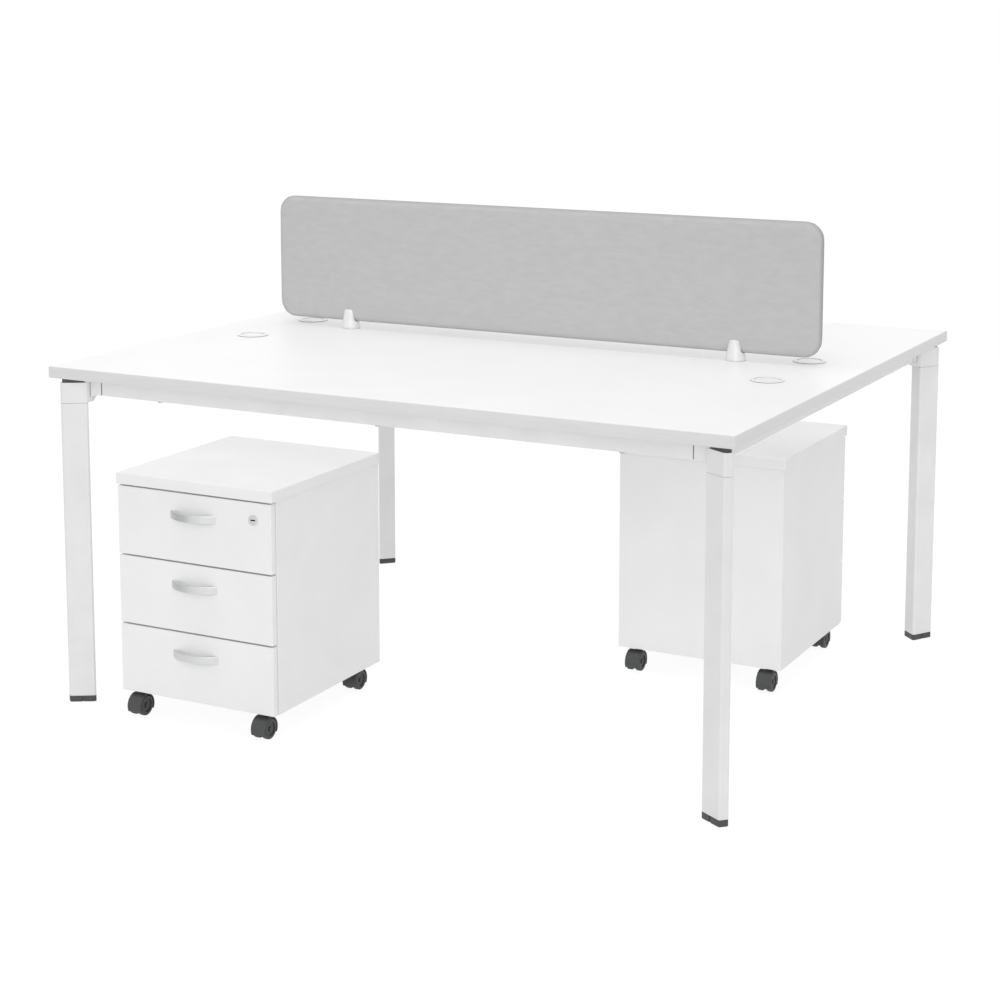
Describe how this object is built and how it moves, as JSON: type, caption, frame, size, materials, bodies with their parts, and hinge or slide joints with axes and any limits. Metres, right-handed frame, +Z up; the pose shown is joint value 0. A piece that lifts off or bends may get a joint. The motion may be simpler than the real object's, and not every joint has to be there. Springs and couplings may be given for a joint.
{
  "type": "workstation cluster",
  "caption": "White bench desk for people who sit face to face, with a grey fabric screen across its top and rolling drawer pedestals under it.",
  "frame": {"origin": "on the floor, under the middle of the desktop", "axes": "+X along the desk's long side, +Y from the front worker to the back worker, +Z up"},
  "size_m": [1.6, 1.418, 1.078],
  "materials": {
    "white_board": "white melamine-faced board, satin",
    "white_edging": "white edging, satin",
    "drawer_board": "light grey melamine-faced board",
    "frame_paint": "white powder coat on steel tube",
    "painted_casting": "white powder coat on a casting",
    "dark_plastic": "dark grey moulded plastic",
    "dark_tread": "dark grey moulded wheel",
    "white_plastic": "white moulded plastic",
    "clear_plastic": "milky translucent plastic",
    "screen_fabric": "plain woven grey fabric",
    "satin_metal": "satin silver",
    "chrome": "polished",
    "zinc_steel": "zinc plated"
  },
  "bodies": {
    "desk": {"desktop": "white_board", "desktop_edge_band": "white_edging", "leg_heads": "painted_casting", "leg_feet": "dark_plastic", "frame_rails": "frame_paint", "frame_fasteners": "zinc_steel", "desktop_pads": "dark_plastic", "grommet_sleeves": "white_plastic", "screen_panel": "screen_fabric", "screen_feet": "clear_plastic", "leg_front_left": "frame_paint", "leg_front_right": "frame_paint", "leg_back_left": "frame_paint", "leg_back_right": "frame_paint"},
    "grommet_cap_front_left": {"grommet_cap_front_left": "white_plastic"},
    "grommet_cap_front_right": {"grommet_cap_front_right": "white_plastic"},
    "grommet_cap_back_left": {"grommet_cap_back_left": "white_plastic"},
    "grommet_cap_back_right": {"grommet_cap_back_right": "white_plastic"},
    "pedestal_a": {"pedestal_a_top": "white_board", "pedestal_a_carcase": "white_board", "pedestal_a_runners": "zinc_steel"},
    "pedestal_a_drawer_bottom": {"pedestal_a_drawer_front_bottom": "white_board", "pedestal_a_drawer_box_bottom": "drawer_board", "pedestal_a_handle_bottom": "satin_metal"},
    "pedestal_a_drawer_middle": {"pedestal_a_drawer_front_middle": "white_board", "pedestal_a_drawer_box_middle": "drawer_board", "pedestal_a_handle_middle": "satin_metal"},
    "pedestal_a_drawer_top": {"pedestal_a_drawer_front_top": "white_board", "pedestal_a_drawer_box_top": "drawer_board", "pedestal_a_handle_top": "satin_metal"},
    "pedestal_a_lock": {"pedestal_a_lock": "chrome"},
    "pedestal_a_caster_front_left": {"pedestal_a_caster_fork_front_left": "dark_plastic"},
    "pedestal_a_wheels_front_left": {"pedestal_a_caster_wheels_front_left": "dark_tread"},
    "pedestal_a_caster_front_right": {"pedestal_a_caster_fork_front_right": "dark_plastic"},
    "pedestal_a_wheels_front_right": {"pedestal_a_caster_wheels_front_right": "dark_tread"},
    "pedestal_a_caster_back_left": {"pedestal_a_caster_fork_back_left": "dark_plastic"},
    "pedestal_a_wheels_back_left": {"pedestal_a_caster_wheels_back_left": "dark_tread"},
    "pedestal_a_caster_back_right": {"pedestal_a_caster_fork_back_right": "dark_plastic"},
    "pedestal_a_wheels_back_right": {"pedestal_a_caster_wheels_back_right": "dark_tread"},
    "pedestal_b": {"pedestal_b_top": "white_board", "pedestal_b_carcase": "white_board", "pedestal_b_runners": "zinc_steel"},
    "pedestal_b_drawer_bottom": {"pedestal_b_drawer_front_bottom": "white_board", "pedestal_b_drawer_box_bottom": "drawer_board", "pedestal_b_handle_bottom": "satin_metal"},
    "pedestal_b_drawer_middle": {"pedestal_b_drawer_front_middle": "white_board", "pedestal_b_drawer_box_middle": "drawer_board", "pedestal_b_handle_middle": "satin_metal"},
    "pedestal_b_drawer_top": {"pedestal_b_drawer_front_top": "white_board", "pedestal_b_drawer_box_top": "drawer_board", "pedestal_b_handle_top": "satin_metal"},
    "pedestal_b_lock": {"pedestal_b_lock": "chrome"},
    "pedestal_b_caster_front_left": {"pedestal_b_caster_fork_front_left": "dark_plastic"},
    "pedestal_b_wheels_front_left": {"pedestal_b_caster_wheels_front_left": "dark_tread"},
    "pedestal_b_caster_front_right": {"pedestal_b_caster_fork_front_right": "dark_plastic"},
    "pedestal_b_wheels_front_right": {"pedestal_b_caster_wheels_front_right": "dark_tread"},
    "pedestal_b_caster_back_left": {"pedestal_b_caster_fork_back_left": "dark_plastic"},
    "pedestal_b_wheels_back_left": {"pedestal_b_caster_wheels_back_left": "dark_tread"},
    "pedestal_b_caster_back_right": {"pedestal_b_caster_fork_back_right": "dark_plastic"},
    "pedestal_b_wheels_back_right": {"pedestal_b_caster_wheels_back_right": "dark_tread"}
  },
  "joints": [
    {"name": "grommet_cap_front_left_turn", "type": "hinge", "parent": "desk", "child": "grommet_cap_front_left", "pos_m": [-0.65, -0.132, 0.76], "axis": [0, 0, 1], "continuous": true},
    {"name": "grommet_cap_front_right_turn", "type": "hinge", "parent": "desk", "child": "grommet_cap_front_right", "pos_m": [0.65, -0.132, 0.76], "axis": [0, 0, 1], "continuous": true},
    {"name": "grommet_cap_back_left_turn", "type": "hinge", "parent": "desk", "child": "grommet_cap_back_left", "pos_m": [-0.65, 0.132, 0.76], "axis": [0, 0, 1], "continuous": true},
    {"name": "grommet_cap_back_right_turn", "type": "hinge", "parent": "desk", "child": "grommet_cap_back_right", "pos_m": [0.65, 0.132, 0.76], "axis": [0, 0, 1], "continuous": true},
    {"name": "pedestal_a_roll", "type": "slide", "parent": "desk", "child": "pedestal_a", "axis": [0, -1, 0], "range_m": [0, 0.6]},
    {"name": "pedestal_a_drawer_bottom_slide", "type": "slide", "parent": "pedestal_a", "child": "pedestal_a_drawer_bottom", "axis": [0, -1, 0], "range_m": [0, 0.3]},
    {"name": "pedestal_a_drawer_middle_slide", "type": "slide", "parent": "pedestal_a", "child": "pedestal_a_drawer_middle", "axis": [0, -1, 0], "range_m": [0, 0.3]},
    {"name": "pedestal_a_drawer_top_slide", "type": "slide", "parent": "pedestal_a", "child": "pedestal_a_drawer_top", "axis": [0, -1, 0], "range_m": [0, 0.3]},
    {"name": "pedestal_a_lock_turn", "type": "hinge", "parent": "pedestal_a_drawer_top", "child": "pedestal_a_lock", "pos_m": [-0.27, -0.696, 0.4765], "axis": [0, 1, 0], "range_deg": [0, 90]},
    {"name": "pedestal_a_caster_front_left_swivel", "type": "hinge", "parent": "pedestal_a", "child": "pedestal_a_caster_front_left", "pos_m": [-0.586, -0.664, 0.056], "axis": [0, 0, 1], "continuous": true},
    {"name": "pedestal_a_wheels_front_left_spin", "type": "hinge", "parent": "pedestal_a_caster_front_left", "child": "pedestal_a_wheels_front_left", "pos_m": [-0.586, -0.68, 0.0225], "axis": [1, 0, 0], "continuous": true},
    {"name": "pedestal_a_caster_front_right_swivel", "type": "hinge", "parent": "pedestal_a", "child": "pedestal_a_caster_front_right", "pos_m": [-0.262, -0.664, 0.056], "axis": [0, 0, 1], "continuous": true},
    {"name": "pedestal_a_wheels_front_right_spin", "type": "hinge", "parent": "pedestal_a_caster_front_right", "child": "pedestal_a_wheels_front_right", "pos_m": [-0.262, -0.68, 0.0225], "axis": [1, 0, 0], "continuous": true},
    {"name": "pedestal_a_caster_back_left_swivel", "type": "hinge", "parent": "pedestal_a", "child": "pedestal_a_caster_back_left", "pos_m": [-0.586, -0.298, 0.056], "axis": [0, 0, 1], "continuous": true},
    {"name": "pedestal_a_wheels_back_left_spin", "type": "hinge", "parent": "pedestal_a_caster_back_left", "child": "pedestal_a_wheels_back_left", "pos_m": [-0.586, -0.314, 0.0225], "axis": [1, 0, 0], "continuous": true},
    {"name": "pedestal_a_caster_back_right_swivel", "type": "hinge", "parent": "pedestal_a", "child": "pedestal_a_caster_back_right", "pos_m": [-0.262, -0.298, 0.056], "axis": [0, 0, 1], "continuous": true},
    {"name": "pedestal_a_wheels_back_right_spin", "type": "hinge", "parent": "pedestal_a_caster_back_right", "child": "pedestal_a_wheels_back_right", "pos_m": [-0.262, -0.314, 0.0225], "axis": [1, 0, 0], "continuous": true},
    {"name": "pedestal_b_roll", "type": "slide", "parent": "desk", "child": "pedestal_b", "axis": [0, 1, 0], "range_m": [0, 0.6]},
    {"name": "pedestal_b_drawer_bottom_slide", "type": "slide", "parent": "pedestal_b", "child": "pedestal_b_drawer_bottom", "axis": [0, 1, 0], "range_m": [0, 0.3]},
    {"name": "pedestal_b_drawer_middle_slide", "type": "slide", "parent": "pedestal_b", "child": "pedestal_b_drawer_middle", "axis": [0, 1, 0], "range_m": [0, 0.3]},
    {"name": "pedestal_b_drawer_top_slide", "type": "slide", "parent": "pedestal_b", "child": "pedestal_b_drawer_top", "axis": [0, 1, 0], "range_m": [0, 0.3]},
    {"name": "pedestal_b_lock_turn", "type": "hinge", "parent": "pedestal_b_drawer_top", "child": "pedestal_b_lock", "pos_m": [0.258, 0.52, 0.4765], "axis": [0, -1, 0], "range_deg": [0, 90]},
    {"name": "pedestal_b_caster_front_left_swivel", "type": "hinge", "parent": "pedestal_b", "child": "pedestal_b_caster_front_left", "pos_m": [0.574, 0.488, 0.056], "axis": [0, 0, 1], "continuous": true},
    {"name": "pedestal_b_wheels_front_left_spin", "type": "hinge", "parent": "pedestal_b_caster_front_left", "child": "pedestal_b_wheels_front_left", "pos_m": [0.574, 0.472, 0.0225], "axis": [1, 0, 0], "continuous": true},
    {"name": "pedestal_b_caster_front_right_swivel", "type": "hinge", "parent": "pedestal_b", "child": "pedestal_b_caster_front_right", "pos_m": [0.25, 0.488, 0.056], "axis": [0, 0, 1], "continuous": true},
    {"name": "pedestal_b_wheels_front_right_spin", "type": "hinge", "parent": "pedestal_b_caster_front_right", "child": "pedestal_b_wheels_front_right", "pos_m": [0.25, 0.472, 0.0225], "axis": [1, 0, 0], "continuous": true},
    {"name": "pedestal_b_caster_back_left_swivel", "type": "hinge", "parent": "pedestal_b", "child": "pedestal_b_caster_back_left", "pos_m": [0.574, 0.122, 0.056], "axis": [0, 0, 1], "continuous": true},
    {"name": "pedestal_b_wheels_back_left_spin", "type": "hinge", "parent": "pedestal_b_caster_back_left", "child": "pedestal_b_wheels_back_left", "pos_m": [0.574, 0.106, 0.0225], "axis": [1, 0, 0], "continuous": true},
    {"name": "pedestal_b_caster_back_right_swivel", "type": "hinge", "parent": "pedestal_b", "child": "pedestal_b_caster_back_right", "pos_m": [0.25, 0.122, 0.056], "axis": [0, 0, 1], "continuous": true},
    {"name": "pedestal_b_wheels_back_right_spin", "type": "hinge", "parent": "pedestal_b_caster_back_right", "child": "pedestal_b_wheels_back_right", "pos_m": [0.25, 0.106, 0.0225], "axis": [1, 0, 0], "continuous": true}
  ]
}
